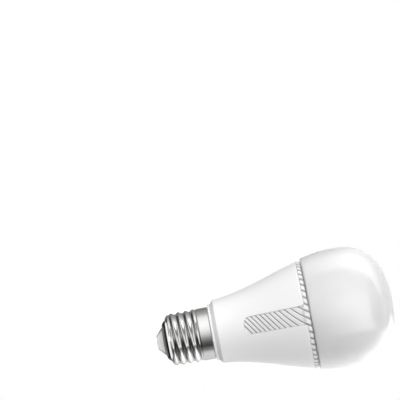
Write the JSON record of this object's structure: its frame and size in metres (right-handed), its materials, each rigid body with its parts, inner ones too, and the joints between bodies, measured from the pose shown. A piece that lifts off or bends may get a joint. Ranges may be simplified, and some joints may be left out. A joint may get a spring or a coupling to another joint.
{
  "type": "smart light bulb",
  "caption": "Pear-shaped LED lamp with an opal dome, a waisted white housing with a grooved collar and tab, an E27 screw cap, and driver and radio boards inside.",
  "frame": {"origin": "centre of the centre contact's flat end face, on the lamp's axis", "axes": "+Z along the lamp's axis from the screw cap to the dome, -Y through the middle of the collar's patterned tab, +X to the right seen from the tab's side"},
  "size_m": [0.06, 0.06, 0.1183],
  "materials": {
    "diffuser": "glossy opal white polycarbonate",
    "collar": "satin white with fine dark grey slanting grooves",
    "housing": "satin-gloss white moulding",
    "shell": "bright nickel plate on a rolled thread",
    "insulator": "opaque glossy black glass",
    "contact": "turned grey plate",
    "solder": "dull solder",
    "cup": "plain drawn aluminium",
    "liner": "natural insulating plastic",
    "pad": "soft grey thermal pad",
    "board": "white solder mask on aluminium",
    "screw": "zinc-plated steel",
    "seal": "cured white silicone",
    "led": "yellow phosphor over a white package",
    "driver_board": "green glass-fibre board",
    "fuse": "coated resistor body",
    "chip": "black moulded package",
    "film": "yellow box capacitor",
    "can": "black sleeve on an aluminium can",
    "choke": "enamelled copper winding on a drum core",
    "ferrite": "dark grey ferrite",
    "tape": "yellow polyester tape",
    "header": "black pin header",
    "wifi_board": "blue glass-fibre board",
    "tin": "tinned steel screening can",
    "live": "red wire insulation",
    "neutral": "blue wire insulation"
  },
  "bodies": {
    "root": {"diffuser_dome": "diffuser", "pattern_collar": "collar", "outer_housing": "housing", "screw_shell": "shell", "cap_insulator": "insulator", "centre_contact": "contact", "contact_solder": "solder", "heat_sink_cup": "cup", "driver_liner": "liner", "thermal_pad": "pad", "led_board": "board", "board_screw_1": "screw", "board_screw_2": "screw", "diffuser_seal": "seal", "led_01": "led", "led_02": "led", "led_03": "led", "led_04": "led", "led_05": "led", "led_06": "led", "led_07": "led", "led_08": "led", "led_09": "led", "led_10": "led", "led_11": "led", "led_12": "led", "led_13": "led", "led_14": "led", "led_15": "led", "led_16": "led", "driver_board": "driver_board", "fuse_resistor": "fuse", "bridge_rectifier": "chip", "film_capacitor": "film", "input_capacitor": "can", "output_capacitor": "can", "filter_choke": "choke", "transformer_core": "ferrite", "transformer_winding": "tape", "driver_chip": "chip", "power_transistor": "chip", "output_header": "header", "wifi_board": "wifi_board", "wifi_shield_can": "tin", "live_wire": "live", "neutral_wire": "neutral"}
  },
  "joints": []
}
